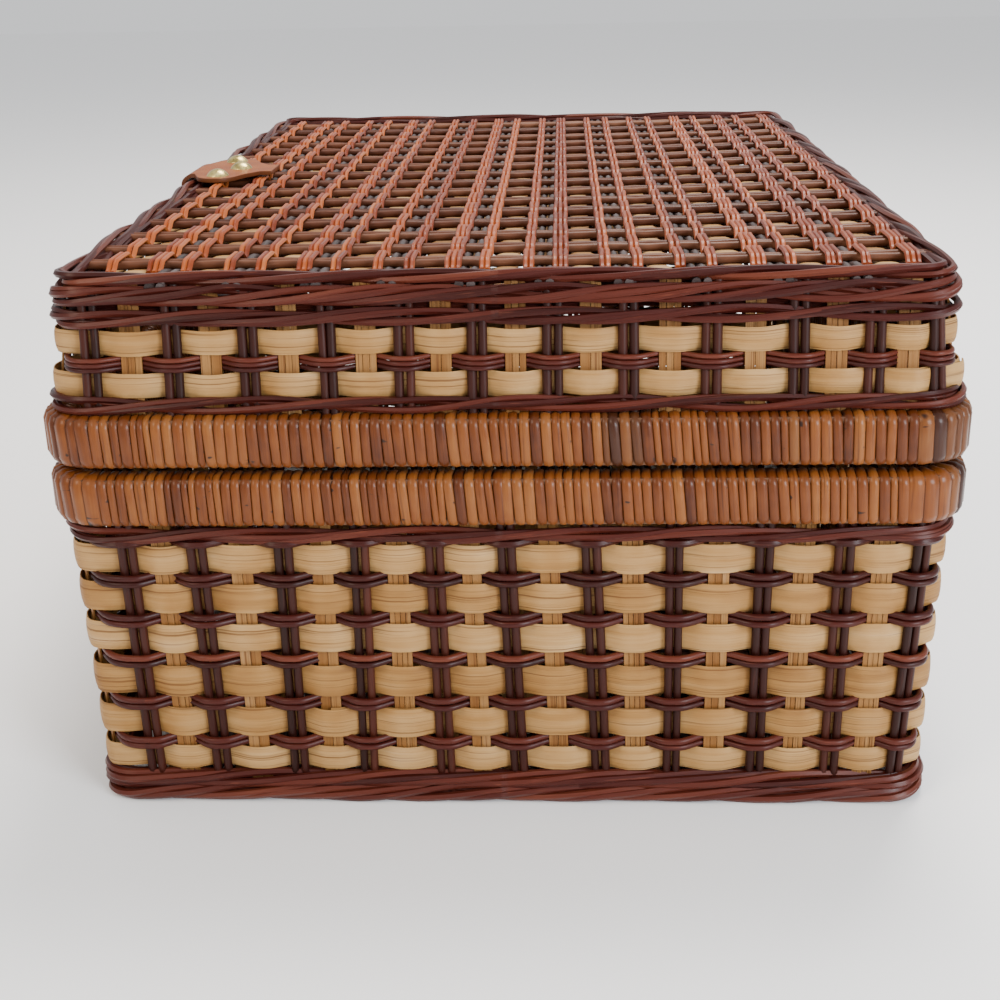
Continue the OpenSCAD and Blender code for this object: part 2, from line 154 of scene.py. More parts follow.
def spots(near, far, sides):
    """Places round the wall, in order from the near end's first: near end, right side, far end, left side."""
    found = [x * MM for x in near]
    found += [SIDE_MID + y * MM for y in sides]
    found += [AROUND / 2 + x * MM for x in far]
    found += [AROUND / 2 + SIDE_MID + y * MM for y in sides]
    return found


def body_out(z):
    """How far the body wall leans in at a height."""
    return -BODY_LEAN * (1 - min(z, BODY_RIM_Z) / BODY_RIM_Z)


def strands(name, runs, section, closed=False, sides=3):
    """Rods or strips along runs of points, made one mesh: section is a radius or an outline of points.
    Each point of a run is x, y, z and a share of the section's size. The mesh keeps two attributes:
    grain, a place across and along the fibre, and pick, a number that differs from strand to strand."""
    curve = bpy.data.curves.new(name, "CURVE")
    curve.dimensions = "3D"
    if isinstance(section, float):
        curve.bevel_depth = section
        curve.bevel_resolution = sides - 2
        outline = None
    else:
        outline = bpy.data.curves.new(name + "_outline", "CURVE")
        spline = outline.splines.new("POLY")
        spline.points.add(len(section) - 1)
        spline.use_cyclic_u = True
        for point, (x, y) in zip(spline.points, section):
            point.co = (x, y, 0, 1)
        holder = bpy.data.objects.new(name + "_outline", outline)
        bpy.context.scene.collection.objects.link(holder)
        curve.bevel_mode = "OBJECT"
        curve.bevel_object = holder
        curve.twist_mode = "Z_UP"
    for run in runs:
        spline = curve.splines.new("POLY")
        spline.points.add(len(run) - 1)
        spline.use_cyclic_u = closed
        for point, place in zip(spline.points, run):
            point.co = (*place[:3], 1)
            point.radius = place[3] if len(place) > 3 else 1
    tube = bpy.data.objects.new(name, curve)
    bpy.context.scene.collection.objects.link(tube)
    shown = tube.evaluated_get(bpy.context.evaluated_depsgraph_get())
    mesh = bpy.data.meshes.new_from_object(shown)
    bpy.data.objects.remove(tube)
    if outline:
        bpy.data.objects.remove(holder)

    ring = len(mesh.vertices) // sum(len(run) for run in runs)
    if outline:
        across = section
    else:
        angles = [math.tau * k / ring for k in range(ring)]
        across = [(section * math.cos(a), section * math.sin(a)) for a in angles]
    grain, pick = [], []
    dice = random.Random(name)
    for run in runs:
        along = dice.uniform(0, 40)
        tone = run[0][4] if len(run[0]) > 4 else dice.random()
        last = run[0]
        for place in run:
            along += math.dist(last[:3], place[:3])
            last = place
            for x, y in across:
                grain += (x, y, along)
            pick += [place[4] if len(place) > 4 else tone] * ring
    mesh.attributes.new("grain", "FLOAT_VECTOR", "POINT").data.foreach_set("vector", grain)
    mesh.attributes.new("pick", "FLOAT", "POINT").data.foreach_set("value", pick)

    shape = bmesh.new()
    shape.from_mesh(mesh)
    ends = [e for e in shape.edges if e.is_boundary]
    if ends:
        bmesh.ops.holes_fill(shape, edges=ends, sides=0)
    bmesh.ops.recalc_face_normals(shape, faces=shape.faces)
    for face in shape.faces:
        face.smooth = True
    shape.to_mesh(mesh)
    shape.free()
    mesh.set_sharp_from_angle(angle=math.radians(50))
    piece = bpy.data.objects.new(name, mesh)
    bpy.context.scene.collection.objects.link(piece)
    return piece


class Socket:
    """A value in a material's nodes, so that shader maths reads as arithmetic."""

    def __init__(self, paint, socket):
        self.paint, self.socket = paint, socket

    def math(self, operation, a, b):
        return self.paint.node("ShaderNodeMath", {"operation": operation}, {0: a, 1: b})

    def __add__(self, other):
        return self.math("ADD", self, other)

    def __radd__(self, other):
        return self.math("ADD", other, self)

    def __sub__(self, other):
        return self.math("SUBTRACT", self, other)

    def __rsub__(self, other):
        return self.math("SUBTRACT", other, self)

    def __mul__(self, other):
        return self.math("MULTIPLY", self, other)

    def __rmul__(self, other):
        return self.math("MULTIPLY", other, self)


class Paint:
    """One procedural material. node() adds any node: settings first, then its sockets' values or links."""

    def __init__(self, name, **constants):
        self.material = bpy.data.materials.new(name)
        self.material.use_nodes = True
        self.tree = self.material.node_tree
        self.shader = self.tree.nodes["Principled BSDF"]
        self.shader.inputs["Specular IOR Level"].default_value = 0.16
        for socket, value in constants.items():
            self.shader.inputs[socket.replace("_", " ")].default_value = value

    def node(self, kind, settings=None, sockets=None, output=0):
        made = self.tree.nodes.new(kind)
        for setting, value in (settings or {}).items():
            if setting == "stops":
                for place, colour in value[1:-1]:
                    made.color_ramp.elements.new(place)
                for element, (place, colour) in zip(made.color_ramp.elements, value):
                    element.position = place
                    element.color = (*colour, 1)
            else:
                setattr(made, setting, value)
        for socket, value in (sockets or {}).items():
            if isinstance(value, Socket):
                self.tree.links.new(value.socket, made.inputs[socket])
            elif value is not None:
                made.inputs[socket].default_value = value
        return Socket(self, made.outputs[output])

    def attribute(self, name, output):
        return self.node("ShaderNodeAttribute", {"attribute_name": name}, {}, output)

    def noise(self, vector, stretch, detail=3, roughness=0.55):
        """Noise on a vector stretched by three numbers: few cycles a metre along the fibre, many across."""
        stretched = self.node("ShaderNodeVectorMath", {"operation": "MULTIPLY"}, {0: vector, 1: stretch})
        return self.node(
            "ShaderNodeTexNoise",
            {},
            {"Vector": stretched, "Scale": 1, "Detail": detail, "Roughness": roughness},
        )

    def between(self, value, low, high, out_low=0.0, out_high=1.0):
        return self.node(
            "ShaderNodeMapRange",
            {"clamp": True},
            {"Value": value, "From Min": low, "From Max": high, "To Min": out_low, "To Max": out_high},
        )

    def ramp(self, value, stops):
        return self.node("ShaderNodeValToRGB", {"stops": stops}, {"Fac": value})

    def mix(self, share, a, b):
        return self.node("ShaderNodeMix", {"data_type": "RGBA"}, {0: share, 6: a, 7: b}, 2)

    def bump(self, height, distance, strength=1.0):
        return self.node("ShaderNodeBump", {}, {"Height": height, "Distance": distance, "Strength": strength})

    def feed(self, **links):
        for socket, value in links.items():
            self.tree.links.new(value.socket, self.shader.inputs[socket.replace("_", " ")])
        return self.material


def rattan(name, shades, rough=0.42, coat=0.04):
    """Stained round rattan: fine fibres along the rod, slow changes of stain, worn light streaks."""
    paint = Paint(name, Coat_Weight=coat, Coat_Roughness=0.25)
    grain = paint.attribute("grain", 1)
    pick = paint.attribute("pick", 2)
    fibres = paint.noise(grain, (2600, 2600, 45), 3)
    stain = paint.noise(grain, (260, 260, 16), 2)
    tone = pick * 0.62 + stain * 0.5 + fibres * 0.3 - 0.24
    colour = paint.ramp(tone, shades)
    rub = paint.between(paint.noise(grain, (900, 900, 60), 4), 0.62, 0.75)
    colour = paint.mix(rub * 0.28, colour, (*[c * 1.8 + 0.01 for c in shades[-1][1]], 1))
    height = fibres * 0.5 + stain * 0.4
    return paint.feed(
        Base_Color=colour,
        Roughness=paint.between(fibres, 0.3, 0.7, rough - 0.1, rough + 0.16),
        Normal=paint.bump(height, 0.35 * MM, 0.55),
    )


def finish(piece, body, material, slot, *nodes):
    """Gives a piece its material and the body that it moves with, and hides the CAD nodes it stands for. The
    slot argument is not used.
    """
    piece.data.materials.clear()
    piece.data.materials.append(material)
    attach(piece, body)
    if nodes:
        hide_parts(*nodes)
    return piece


class Stakes:
    """Where the stake pairs stand round a wall. Each leans a little along the wall, as bent rods do."""

    def __init__(self, seed, feet, heads, z0, z1, slip):
        dice = random.Random(seed)
        self.z0, self.z1 = z0, z1
        self.feet = [s + dice.uniform(-slip, slip) for s in feet]
        self.heads = [s + dice.uniform(-slip, slip) for s in heads]
        self.gaps = [PAIR * dice.uniform(0.94, 1.12) for s in feet]

    def at(self, z):
        share = (z - self.z0) / (self.z1 - self.z0)
        return [a + (b - a) * share for a, b in zip(self.feet, self.heads)]

    def between(self, z):
        """Halfway from each pair to the next, at a height: the places of the splints."""
        places = self.at(z)
        return [(a + b) / 2 for a, b in zip(places, places[1:] + [places[0] + AROUND])]

    def rods(self, seed, lean):
        dice = random.Random(seed)
        runs = []
        for foot, head, gap in zip(self.feet, self.heads, self.gaps):
            for side in (-1, 1):
                size, tone = dice.uniform(0.93, 1.06), dice.random()
                bow = dice.uniform(-0.5, 0.5) * MM
                run = []
                for k in range(9):
                    share = k / 8
                    z = self.z0 + (self.z1 - self.z0) * share
                    s = foot + (head - foot) * share + side * gap + bow * math.sin(math.pi * share)
                    run.append((*wall(s, lean(z), z), size, tone))
                runs.append(run)
        return runs


DARK = [(0.0, (0.010, 0.002, 0.001)), (0.45, (0.026, 0.005, 0.003)), (1.0, (0.062, 0.014, 0.007))]
dark_rattan = rattan("dark_rattan", DARK, 0.4)

NEAR_FEET = [-162.9, -131.7, -96.4, -63.9, -28.3, 6.2, 42.9, 74.8, 112.4, 145.6, 175.9]
NEAR_HEADS = [-164.3, -134.0, -95.7, -61.5, -30.5, 0.1, 36.0, 72.7, 112.1, 145.5, 179.5]
FAR_PAIRS = [34.4 * k for k in range(-5, 6)]
SIDE_PAIRS = [32 * (k - 7.5) for k in range(16)]
body_feet = spots(NEAR_FEET, FAR_PAIRS, SIDE_PAIRS)
body_heads = spots(NEAR_HEADS, FAR_PAIRS, SIDE_PAIRS)
body_stand = Stakes("body", body_feet, body_heads, 5 * MM, 158 * MM, 0.5 * MM)
body_stakes = strands("stakes_of_body", body_stand.rods("body rods", body_out), ROD_R, sides=4)
finish(body_stakes, "body", dark_rattan, "dark_stake", "body_stakes")

# ---- Pale splints of the body ----
# Two to four thin split strips side by side, set upright midway between the stake pairs, inside the
# chips and outside the dark weavers. Only short lengths of them show, in the gaps between the chips.


def chip_wood(name, shades):
    """Split pale wood: fine straight lines along the strip, and a tone of its own for each strip."""
    paint = Paint(name, Coat_Weight=0.05, Coat_Roughness=0.4)
    grain = paint.attribute("grain", 1)
    pick = paint.attribute("pick", 2)
    lines = paint.noise(grain, (780, 780, 6), 3, 0.7)
    bands = paint.noise(grain, (240, 240, 9), 2)
    patch = paint.noise(grain, (30, 30, 32), 2)
    tone = pick * 0.35 + bands * 0.6 + patch * 0.9 + lines * 0.6 - 0.70
    colour = paint.ramp(tone, shades)
    groove = paint.between(lines, 0.54, 0.64)
    colour = paint.mix(groove * 0.75, colour, (0.085, 0.026, 0.005, 1))
    pore = paint.between(paint.noise(grain, (2200, 2200, 60), 2), 0.62, 0.72)
    colour = paint.mix(pore * 0.25, colour, (0.10, 0.036, 0.010, 1))
    height = lines * -0.8 + bands * 0.5
    return paint.feed(
        Base_Color=colour,
        Roughness=paint.between(lines, 0.3, 0.7, 0.45, 0.67),
        Normal=paint.bump(height, 0.6 * MM, 0.8),
    )


PALE = [
    (0.0, (0.170, 0.070, 0.016)),
    (0.4, (0.290, 0.145, 0.042)),
    (0.75, (0.400, 0.235, 0.090)),
    (1.0, (0.500, 0.330, 0.170)),
]
pale_wood = chip_wood("pale_wood", PALE)
# Painted shade: the splints are the same pale wood as the chips, given a darker copy of its colours because
# they lie in shade behind the chips.
PALE_IN_PAINTED_SHADE = [(place, (red * 0.66, green * 0.55, blue * 0.45)) for place, (red, green, blue) in PALE]
splint_wood_painted_shade = chip_wood("splint_wood_painted_shade", PALE_IN_PAINTED_SHADE)

SPLINT_T = 0.4 * MM
SPLINT_IN = 0.55 * MM


def splints(name, stand, z0, z1, lean, seed, widths):
    """Upright strips midway between the stake pairs, each its own thin bar, leaning with the wall."""
    dice = random.Random(seed)
    shape = bmesh.new()
    grain = shape.verts.layers.float_vector.new("grain")
    pick = shape.verts.layers.float.new("pick")
    for low, high in zip(stand.between(z0), stand.between(z1)):
        count = dice.choice([2, 3, 3, 4])
        each = dice.uniform(*widths) / count
        for k in range(count):
            shift = (k - (count - 1) / 2) * each
            tone, start = dice.random(), dice.uniform(0, 40)
            depth = dice.uniform(-0.25, 0.25) * MM
            foot = Vector(wall(low + shift, lean(z0) - SPLINT_IN + depth, z0))
            head = Vector(wall(high + shift, lean(z1) - SPLINT_IN + depth, z1))
            up = head - foot
            out = Vector(wall(low + shift, 1, 0)) - Vector(wall(low + shift, 0, 0))
            side = up.cross(out).normalized()
            out = side.cross(up).normalized()
            cut = (each - 0.25 * MM) / 2
            made = bmesh.ops.create_cube(shape, size=1)["verts"]
            for v in made:
                v[grain] = (v.co.x * 2 * SPLINT_T, v.co.y * 2 * cut + start, v.co.z * up.length + start)
                v[pick] = tone
                v.co = (foot + head) / 2 + out * v.co.x * 2 * SPLINT_T + side * v.co.y * 2 * cut + up * v.co.z
    bmesh.ops.recalc_face_normals(shape, faces=shape.faces)
    mesh = bpy.data.meshes.new(name)
    shape.to_mesh(mesh)
    shape.free()
    piece = bpy.data.objects.new(name, mesh)
    bpy.context.scene.collection.objects.link(piece)
    return piece


body_splint_bars = splints(
    "splints_of_body", body_stand, 6 * MM, 142 * MM, body_out, "body splints", (8.4 * MM, 9.6 * MM)
)
finish(body_splint_bars, "body", splint_wood_painted_shade, "pale_chip", "body_splints")

# ---- Chip rows of the body ----
# Six rows, each one long pale strip of split wood that runs behind the dark pairs and over the splints,
# so it bows outwards between the stakes. Its two ends lap over each other.

CHIP_T = 0.45 * MM
CHIP_BEHIND = -2.35 * MM
CHIP_OVER = 1.2 * MM


def ease(share):
    share = min(1, max(0, (share - 0.12) / 0.76))
    return share * share * (3 - 2 * share)


STEPS = (0, 0.1, 0.2, 0.3, 0.4, 0.5, 0.6, 0.7, 0.8, 0.9)


def woven(stand, z, lean, at_pair, at_splint, seed, wander=0.35 * MM, start=0, lap=0, corner_bow=0.0):
    """A run round the wall at height z: at_pair out from its line at each stake pair, at_splint midway.
    start is the span where a lapped strip begins, and lap how many half spans its ends share."""
    dice = random.Random(seed)
    keys = []
    for pair, splint in zip(stand.at(z), stand.between(z)):
        keys += [(pair, at_pair), (splint, at_splint)]
    keys = keys[start:] + [(s + AROUND, out) for s, out in keys[:start]]
    if lap:
        keys += [(s + AROUND, out + 1.1 * MM) for s, out in keys[: lap + 1]]
    else:
        keys.append((keys[0][0] + AROUND, keys[0][1]))
    drift = [dice.uniform(-wander, wander) for key in keys]
    size = [dice.uniform(0.955, 1.035) for key in keys]
    if not lap:
        drift[-1], size[-1] = drift[0], size[0]
    run = []
    for k in range(len(keys) - 1):
        (s0, out0), (s1, out1) = keys[k], keys[k + 1]
        for share in STEPS:
            s = s0 + (s1 - s0) * share
            out = out0 + (out1 - out0) * ease(share)
            if corner_bow and out > 0:
                here = s % (AROUND / 2)
                near = min(abs(here - END / 2 - ARC / 2), abs(here - END / 2 - ARC * 1.5 - SIDE))
                out += corner_bow * max(0, 1 - near / (ARC * 0.75)) * (out / CHIP_OVER)
            high = z + drift[k] + (drift[k + 1] - drift[k]) * share
            wide = size[k] + (size[k + 1] - size[k]) * share
            run.append((*wall(s, lean(high) + out, high), wide))
    return run


def chip_outline(height):
    """The chip's section: thin, a little bowed outwards, with soft edges. x is outwards and y up."""
    outer, inner = [], []
    for k in range(7):
        t = k / 6 * 2 - 1
        bow = 0.55 * MM * (1 - t * t)
        thick = CHIP_T * (0.55 if abs(t) == 1 else 1)
        outer.append((bow + thick, t * height / 2))
        inner.append((bow - thick, t * height / 2 * 0.985))
    return outer + inner[::-1]


CHIP_Z = [22.8, 41.9, 62.9, 84.5, 104.1, 122.9]
CHIP_H = [11.8, 14.2, 15.2, 13.6, 13.9, 13.3]
CHIP_START = [61, 5, 52, 70, 22, 88]
for row, (z, high, start) in enumerate(zip(CHIP_Z, CHIP_H, CHIP_START), 1):
    places = (CHIP_BEHIND, CHIP_OVER, f"chip {row}", 0.45 * MM)
    run = woven(body_stand, z * MM, body_out, *places, start=start, lap=3, corner_bow=1.6 * MM)
    chip = strands(f"chip_row_{row}", [run], chip_outline(high * MM))
    finish(chip, "body", pale_wood, "pale_chip", f"body_chip_{row}")

# ---- Dark weavers of the body ----
# Five rows of two thin stained rods each, which pass over the dark pairs and behind the splints, the
# other way round from the chips. They bow well out where they cross a pair.

MAHOGANY = [
    (0.0, (0.014, 0.002, 0.001)),
    (0.35, (0.041, 0.006, 0.004)),
    (0.7, (0.079, 0.015, 0.008)),
    (1.0, (0.137, 0.035, 0.016)),
]
mahogany_rattan = rattan("mahogany_rattan", MAHOGANY, 0.36, coat=0.06)

WEAVER_R = 1.55 * MM
WEAVER_OVER = ROD_R + WEAVER_R + 0.15 * MM
WEAVER_BEHIND = -2.5 * MM
for row in range(1, 6):
    z = (CHIP_Z[row - 1] + CHIP_H[row - 1] / 2 + CHIP_Z[row] - CHIP_H[row] / 2) / 2 * MM
    runs = []
    for k in (-1, 1):
        places = (WEAVER_OVER, WEAVER_BEHIND, f"weaver {row} {k}")
        runs.append(woven(body_stand, z + k * 1.6 * MM, body_out, *places, wander=0.3 * MM))
    weaver = strands(f"weaver_row_{row}", runs, WEAVER_R, closed=True, sides=4)
    finish(weaver, "body", mahogany_rattan, "dark_weaver", f"body_weaver_{row}")

# ---- Foot border and wale of the body ----
# Long mahogany rods laid round the foot and twisted over each other like a slack rope, in front of the
# stakes and behind them, and a lighter twist under the rim. They lock the weaving at both ends.


def twist(count, turns, seed, steps, stray, phase):
    """Each rod of a rope in turn: its places round the wall, its angle, how far it strays, and its size."""
    dice = random.Random(seed)
    strands_found = []
    for k in range(count):
        wobble = [(dice.uniform(0, math.tau), dice.randint(9, 31), dice.uniform(*stray)) for n in range(3)]
        size = dice.uniform(0.9, 1.08)
        strand = []
        for step in range(steps):
            s = AROUND * step / steps
            a = math.tau * (turns * s / AROUND + (k // 2) / math.ceil(count / 2) + k % 2 * 0.13) + phase
            jog = sum(far * math.sin(math.tau * n * s / AROUND + start) for start, n, far in wobble)
            strand.append((s, a, jog, size))
        strands_found.append(strand)
    return strands_found


def rope(z, out, high, deep, count, turns, seed, lean, radius_share=1.0, phase=0.0):
    """Rods twisted round each other, two by two, as they go round the wall."""
    runs = []
    for strand in twist(count, turns, seed, 620, (0.15 * MM, 0.45 * MM), phase):
        run = []
        for s, a, jog, size in strand:
            height = max(2.2 * MM, z + high * math.sin(a) + jog)
            run.append((*wall(s, lean(height) + out + deep * math.cos(a), height), size * radius_share))
        runs.append(run)
    return runs


foot_runs = rope(5.2 * MM, 1.2 * MM, 3.0 * MM, 2.8 * MM, 6, 12, "foot low", body_out, 1.05)
foot_runs += rope(11.8 * MM, 0.8 * MM, 2.9 * MM, 3.0 * MM, 6, 10, "foot high", body_out, 1.0, 1.0)
foot_border = strands("foot_border_twist", foot_runs, 1.72 * MM, closed=True)
finish(foot_border, "body", mahogany_rattan, "dark_weaver", "foot_border")

wale_z = CHIP_Z[5] * MM + 7.2 * MM
places = (WEAVER_OVER, WEAVER_BEHIND, "wale under")
wale_runs = [woven(body_stand, wale_z + 1.2 * MM, body_out, *places, wander=0.3 * MM)]
wale_runs += rope(wale_z + 5.0 * MM, 1.9 * MM, 1.9 * MM, 1.7 * MM, 4, 13, "wale", body_out, 0.9)
body_wale = strands("body_wale_twist", wale_runs, 1.6 * MM, closed=True)
finish(body_wale, "body", mahogany_rattan, "dark_weaver", "body_wale")

# ---- Hoops inside the rims ----
# Flat bent rods inside and outside the stake ends. They are the frame's own solids and only show as a
# shadow between turns of the cane.

hoop_wood = Paint("hoop_wood", Roughness=0.7)
hoop_noise = hoop_wood.noise(hoop_wood.node("ShaderNodeTexCoord", {}, {}, 3), (40, 40, 700), 4)
hoop_wood.feed(
    Base_Color=hoop_wood.ramp(hoop_noise, [(0.2, (0.05, 0.02, 0.01)), (0.8, (0.13, 0.06, 0.03))]),
    Normal=hoop_wood.bump(hoop_noise, 0.3 * MM, 0.5),
)
for node in ("body_hoop_outer", "body_hoop_inner", "lid_hoop_outer", "lid_hoop_inner"):
    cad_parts[node].data.materials.clear()
    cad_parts[node].data.materials.append(hoop_wood.material)

# ---- Cane wrapping of the two rims ----
# Half-round varnished cane, about four millimetres wide, wound closely round both hoops. Each turn leans
# a little and differs in width and tone; a few lengths of the winding are dark.

CANE = [
    (0.0, (0.041, 0.008, 0.002)),
    (0.3, (0.099, 0.024, 0.004)),
    (0.62, (0.154, 0.043, 0.008)),
    (1.0, (0.220, 0.077, 0.017)),
]
CANE_DARK = (0.020, 0.005, 0.003)


def cane_paint():
    paint = Paint("varnished_cane", Coat_Weight=0.14, Coat_Roughness=0.2)
    grain = paint.attribute("grain", 1)
    pick = paint.attribute("pick", 2)
    fibres = paint.noise(grain, (1500, 1500, 16), 3, 0.6)
    stain = paint.noise(grain, (150, 150, 28), 2)
    tone = paint.between(pick, 0, 1) * 0.7 + stain * 0.5 + fibres * 0.45 - 0.32
    colour = paint.ramp(tone, CANE)
    streak = paint.between(paint.noise(grain, (900, 900, 9), 2), 0.6, 0.72)
    colour = paint.mix(streak * 0.5, colour, (0.030, 0.007, 0.002, 1))
    # Painted shade: each turn of cane is darkened towards its edges, where it meets the next turn, standing
    # in for the shade in the joins between turns.
    rise = paint.node("ShaderNodeSeparateXYZ", {}, {0: grain}, 0)
    colour = paint.mix(paint.between(rise, 0.1 * MM, 0.9 * MM, 0.85, 0.0), colour, (0.020, 0.005, 0.002, 1))
    knot = paint.between(paint.noise(grain, (240, 240, 120), 0), 0.80, 0.84)
    colour = paint.mix(knot, colour, (0.02, 0.008, 0.005, 1))
    colour = paint.mix(paint.between(pick, 1.0, 1.5), colour, (*CANE_DARK, 1))
    return paint.feed(
        Base_Color=colour,
        Roughness=paint.between(fibres, 0.3, 0.7, 0.28, 0.48),
        Normal=paint.bump(fibres * 0.6 + stain * 0.5, 0.35 * MM, 0.5),
    )


varnished_cane = cane_paint()
CANE_T = 1.5 * MM
CANE_W = 4.2 * MM


def cane_turn():
    """One turn of cane round the rim's section: x outwards, y along the rim, z up from the rim's middle."""
    path = []
    w, h, r = RIM_T / 2 - CANE_T, RIM_H / 2 - CANE_T, 3.4 * MM
    for cx, cz, first in ((1, 1, 0), (-1, 1, 90), (-1, -1, 180), (1, -1, 270)):
        for bend in (0, 45, 90):
            a = math.radians(first + bend)
            path.append((cx * (w - r) + r * math.cos(a), cz * (h - r) + r * math.sin(a)))
    section = [(0, -0.5), (0.7, -0.38), (1, 0), (0.7, 0.38), (0, 0.5)]
    outline = [(rise * CANE_T, across * CANE_W) for rise, across in section]
    turn = strands("cane_turn", [[(x, z, 0) for x, z in path]], outline, closed=True)
    mesh = turn.data
    bpy.data.objects.remove(turn)
    for v in mesh.vertices:
        v.co = (v.co.x, v.co.z, v.co.y)
    mesh.flip_normals()
    return mesh


one_turn = cane_turn()


def wrapped_rim(name, z_mid, seed, dark):
    """Turns of cane side by side all round a rim. dark lists the dark stretches, as places and lengths."""
    dice = random.Random(seed)
    shape = bmesh.new()
    s = 0
    while s < AROUND:
        narrow = dice.random() < 0.18
        wide = dice.uniform(2.7, 3.5) * MM if narrow else dice.uniform(3.9, 4.9) * MM
        here = Vector(wall(s + wide / 2, RIM_OFF, 0))
        out = (Vector(wall(s + wide / 2, 1, 0)) - Vector(wall(s + wide / 2, 0, 0))).normalized()
        corner = abs(out.x) > 0.001 and abs(out.y) > 0.001
        lean = math.radians(3.2 + 2.2 * math.sin(s * 21) + dice.uniform(-1.4, 1.4))
        known = len(shape.verts)
        shape.from_mesh(one_turn)
        shape.verts.ensure_lookup_table()
        grain = shape.verts.layers.float_vector["grain"]
        pick = shape.verts.layers.float["pick"]
        fan = 1 + (RIM_T / 2 / CORNER_R if corner else 0)
        along = Vector((-out.y, out.x, 0))
        start, tone = dice.uniform(0, 40), dice.random()
        for place, length in dark:
            if abs((s - place + AROUND / 2) % AROUND - AROUND / 2) < length / 2:
                tone = dice.uniform(1.15, 1.5)
        swell = dice.uniform(-0.15, 0.25) * MM
        for v in shape.verts[known:]:
            x, y, z = v.co
            y *= wide / CANE_W * 1.06 * (fan if x > 0 else 2 - fan)
            y -= z * math.tan(lean) * (1 if x > 0 else 0.6)
            x += swell * (1 if x > 0 else -1)
            v.co = here + out * x + along * y + Vector((0, 0, z_mid + z))
            v[grain] += Vector((0, 0, start))
            v[pick] = tone
        s += wide
    mesh = bpy.data.meshes.new(name)
    shape.to_mesh(mesh)
    shape.free()
    piece = bpy.data.objects.new(name, mesh)
    bpy.context.scene.collection.objects.link(piece)
    return piece


near_right = END / 2 + ARC * 0.55
LID_RIM_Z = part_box("lid_rim_wrap")[0].z
body_dark = [(near_right + 8 * MM, 26 * MM)]
body_cane = wrapped_rim("body_rim_cane", BODY_RIM_Z + RIM_H / 2, "body cane", body_dark)
finish(body_cane, "body", varnished_cane, "cane_wrap", "body_rim_wrap")
lid_dark = [(near_right, 34 * MM), (47 * MM, 16 * MM), (118 * MM, 5 * MM)]
lid_cane = wrapped_rim("lid_rim_cane", LID_RIM_Z + RIM_H / 2, "lid cane", lid_dark)
finish(lid_cane, "lid", varnished_cane, "cane_wrap", "lid_rim_wrap")

# ---- Stakes, splints, chips and weaver of the lid's wall ----
# The same weave as the body's, on stake pairs that lean in towards the top: two chip rows and one dark
# row of three thin rods between them.

LID_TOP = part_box("lid_border")[1].z
LID_RIM_TOP = LID_RIM_Z + RIM_H
LID_LEAN = 8.5 * MM


def lid_out(z):
    """How far the lid wall stands off the wall line at a height."""
    return RIM_OFF - LID_LEAN * (z - LID_RIM_TOP) / (LID_TOP - LID_RIM_TOP)


LID_NEAR = [-170.3, -136.5, -103.6, -70.9, -39.6, -8.7, 22.2, 53.1, 86.7, 122.0, 153.1, 179.5]
LID_FAR = [31.2 * (k - 5.5) for k in range(12)]
lid_places = spots(LID_NEAR, LID_FAR, SIDE_PAIRS)
lid_stand = Stakes("lid", lid_places, lid_places, LID_RIM_Z + 5 * MM, LID_TOP - 5 * MM, 0.7 * MM)
lid_stakes = strands("stakes_of_lid", lid_stand.rods("lid rods", lid_out), ROD_R, sides=4)
finish(lid_stakes, "lid", dark_rattan, "dark_stake", "lid_stakes")

splint_low, splint_high = LID_RIM_TOP - 2 * MM, LID_TOP - 5 * MM
lid_splint_bars = splints(
    "splints_of_lid", lid_stand, splint_low, splint_high, lid_out, "lid splints", (8.0 * MM, 9.4 * MM)
)
finish(lid_splint_bars, "lid", splint_wood_painted_shade, "pale_chip", "lid_splints")

LID_CHIPS = [(201.4, 10.6, 20), (219.1, 10.4, 50)]
for row, (z, high, start) in enumerate(LID_CHIPS, 1):
    places = (CHIP_BEHIND, CHIP_OVER, f"lid chip {row}")
    run = woven(lid_stand, z * MM, lid_out, *places, wander=0.4 * MM, start=start, lap=3, corner_bow=1.2 * MM)
    chip = strands(f"lid_chip_row_{row}", [run], chip_outline(high * MM))
    finish(chip, "lid", pale_wood, "pale_chip", f"lid_chip_{row}")

runs = []
for k in (-1, 0, 1):
    z = (210.5 + k * 2.05) * MM
    places = (WEAVER_OVER - 0.3 * MM, WEAVER_BEHIND, f"lid weaver {k}")
    runs.append(woven(lid_stand, z, lid_out, *places, wander=0.2 * MM))
lid_weaver = strands("lid_weaver_row", runs, 1.08 * MM, closed=True, sides=4)
finish(lid_weaver, "lid", mahogany_rattan, "dark_weaver", "lid_weaver")

# ---- Wales and top border of the lid ----
# Twisted mahogany rods above the rim and twice round the top of the wall, and one thin rope on the very
# edge of the top. The rods of the top run out and are cut off between the edge rope and the one below.

low_runs = rope(193.6 * MM, 1.9 * MM, 1.9 * MM, 1.7 * MM, 4, 13, "lid low", lid_out, 0.92)
lid_low = strands("lid_lower_twist", low_runs, 1.6 * MM, closed=True)
finish(lid_low, "lid", mahogany_rattan, "dark_weaver", "lid_lower_wale")

up_runs = rope(229.5 * MM, 2.0 * MM, 2.1 * MM, 1.8 * MM, 4, 14, "lid second", lid_out, 0.94)
up_runs += rope(238.4 * MM, 2.4 * MM, 2.9 * MM, 1.9 * MM, 5, 14, "lid upper", lid_out, 0.95, 0.8)
up_runs += rope(234.0 * MM, -3.8 * MM, 2.0 * MM, 0.7 * MM, 6, 9, "lid inner", lid_out, 1.0)
lid_up = strands("lid_upper_twist", up_runs, 1.65 * MM, closed=True)
finish(lid_up, "lid", mahogany_rattan, "dark_weaver", "lid_upper_wale")


